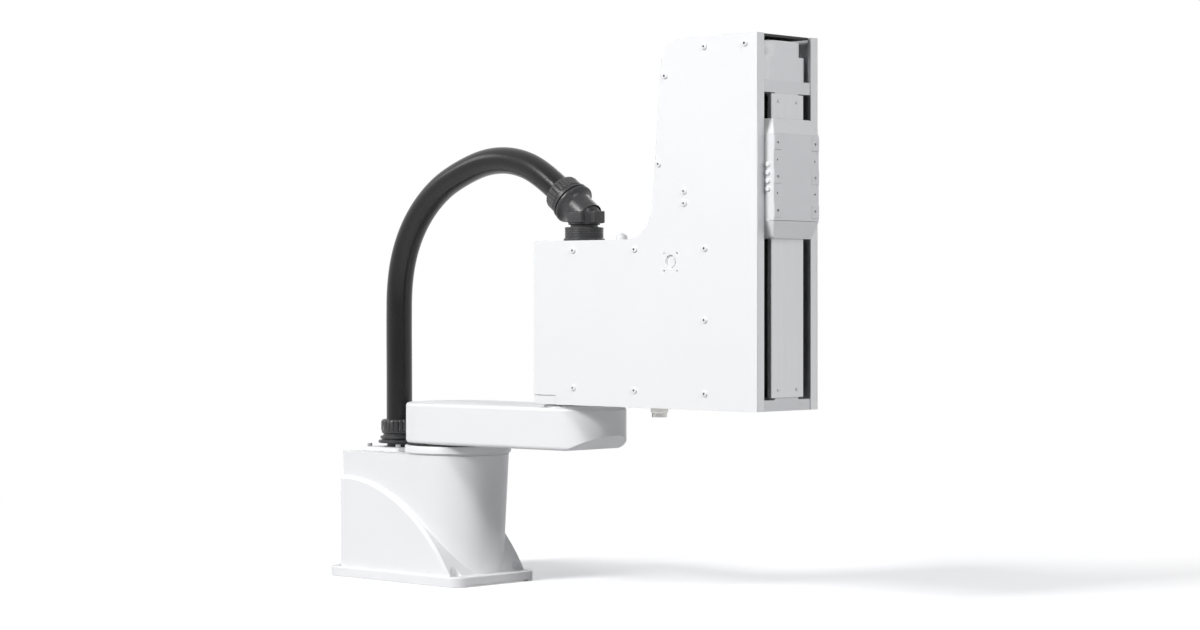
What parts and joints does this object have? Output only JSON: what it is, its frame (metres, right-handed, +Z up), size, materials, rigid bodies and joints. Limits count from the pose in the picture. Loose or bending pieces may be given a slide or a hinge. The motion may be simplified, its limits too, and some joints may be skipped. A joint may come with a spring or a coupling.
{
  "type": "scara robot",
  "caption": "Bench-mounted robot arm with two level swinging arms and a vertical ball-screw carriage for a tool, fed by a curved conduit hose.",
  "frame": {"origin": "where the first arm's axis meets the underside of the foot", "axes": "+X along both arms to the tool with the robot straight, +Y to the robot's left, +Z up"},
  "size_m": [1.0507, 0.208, 0.946],
  "materials": {
    "white_paint": "cast, with a white satin powder coat",
    "cover_paint": "smooth satin paint on sheet",
    "carriage_paint": "machined, with a white satin coat",
    "module_grey": "machined, with a satin silver-grey coat",
    "anodised_profile": "matt anodised extrusion with fine draw lines",
    "machined_aluminium": "fine milled",
    "grey_moulding": "fine grained moulding",
    "black_conduit": "smooth satin corrugated-core jacket",
    "black_fitting": "satin moulded nylon",
    "black_trim": "matt",
    "seal_rubber": "matt lip seal",
    "screw_steel": "zinc plated",
    "white_screw": "painted button heads",
    "bearing_steel": "ground",
    "motor_black": "fine textured",
    "lamp_diffuser": "milky moulded dome",
    "nickel_brass": "nickel plated, knurled"
  },
  "bodies": {
    "base": {"base_casting": "white_paint", "base_rear_panel": "machined_aluminium", "base_panel_screws": "screw_steel", "base_connectors": "black_trim", "base_air_ports": "nickel_brass", "j1_reducer_ring": "bearing_steel", "j1_motor": "motor_black", "j1_seal_ring": "seal_rubber", "hose_base_plate": "white_paint", "hose_plate_screws": "screw_steel", "hose_base_fitting": "black_fitting", "hose_base_nut": "black_fitting", "conduit_hose": "black_conduit"},
    "j1_drive": {"j1_wave_generator": "bearing_steel", "j1_motor_shaft": "bearing_steel"},
    "arm_1": {"arm_1_casting": "white_paint", "arm_1_under_cover": "cover_paint", "arm_1_cover_screws": "white_screw", "j1_output_flange": "bearing_steel", "j1_flexspline": "bearing_steel", "j2_output_flange": "bearing_steel", "j2_flexspline": "bearing_steel"},
    "arm_2": {"arm_2_casting": "white_paint", "right_side_cover": "cover_paint", "left_side_cover": "cover_paint", "right_cover_screws": "white_screw", "left_cover_screws": "white_screw", "connector_blank": "cover_paint", "indicator_lamp": "lamp_diffuser", "user_port_gland": "nickel_brass", "j2_reducer_ring": "bearing_steel", "j2_motor": "motor_black", "hose_top_flange": "black_fitting", "front_profile_right": "anodised_profile", "front_profile_left": "anodised_profile", "module_back_plate": "black_trim", "module_top_cap": "black_trim", "guide_rails": "bearing_steel", "z_lower_end_block": "module_grey", "z_lower_bearing": "bearing_steel", "z_motor_bracket": "module_grey", "z_upper_bearing": "bearing_steel", "z_end_buffers": "seal_rubber", "z_front_cover": "anodised_profile", "front_cover_screws": "screw_steel", "z_motor": "motor_black", "z_motor_cover": "grey_moulding"},
    "j2_drive": {"j2_wave_generator": "bearing_steel", "j2_motor_shaft": "bearing_steel"},
    "z_screw": {"ball_screw": "bearing_steel"},
    "carriage": {"carriage_body": "carriage_paint", "ball_nut": "bearing_steel", "guide_blocks": "bearing_steel", "tool_plate": "module_grey", "carriage_side_fittings": "white_screw"},
    "elbow": {"hose_elbow": "black_fitting", "elbow_key_wing": "black_fitting", "elbow_hose_nut": "black_fitting"}
  },
  "joints": [
    {"name": "j1_turn", "type": "hinge", "parent": "base", "child": "arm_1", "pos_m": [0, 0, 0.2475], "axis": [0, 0, 1], "range_deg": [-120, 120], "deforming": ["conduit_hose"]},
    {"name": "j2_turn", "type": "hinge", "parent": "arm_1", "child": "arm_2", "pos_m": [0.32, 0, 0.313], "axis": [0, 0, 1], "range_deg": [-125, 125]},
    {"name": "z_slide", "type": "slide", "parent": "arm_2", "child": "carriage", "axis": [0, 0, 1], "range_m": [-0.26, 0.04]},
    {"name": "z_screw_turn", "type": "hinge", "parent": "arm_2", "child": "z_screw", "pos_m": [0.746, 0, 0.6], "axis": [0, 0, 1], "range_deg": [-4690, 730]},
    {"name": "elbow_turn", "type": "hinge", "parent": "arm_2", "child": "elbow", "pos_m": [0.32, 0, 0.63], "axis": [0, 0, 1], "range_deg": [-126, 126]},
    {"name": "j1_input_turn", "type": "hinge", "parent": "base", "child": "j1_drive", "pos_m": [0, 0, 0.21], "axis": [0, 0, 1], "range_deg": [-6010, 6010]},
    {"name": "j2_input_turn", "type": "hinge", "parent": "arm_2", "child": "j2_drive", "pos_m": [0.32, 0, 0.33], "axis": [0, 0, 1], "range_deg": [-6260, 6260]}
  ],
  "couplings": [
    {"joint": "z_screw_turn", "follows": "z_slide", "rad_per_m": 314.16},
    {"joint": "elbow_turn", "follows": "j2_turn", "ratio": -1},
    {"joint": "j1_input_turn", "follows": "j1_turn", "ratio": -50},
    {"joint": "j2_input_turn", "follows": "j2_turn", "ratio": 50}
  ]
}
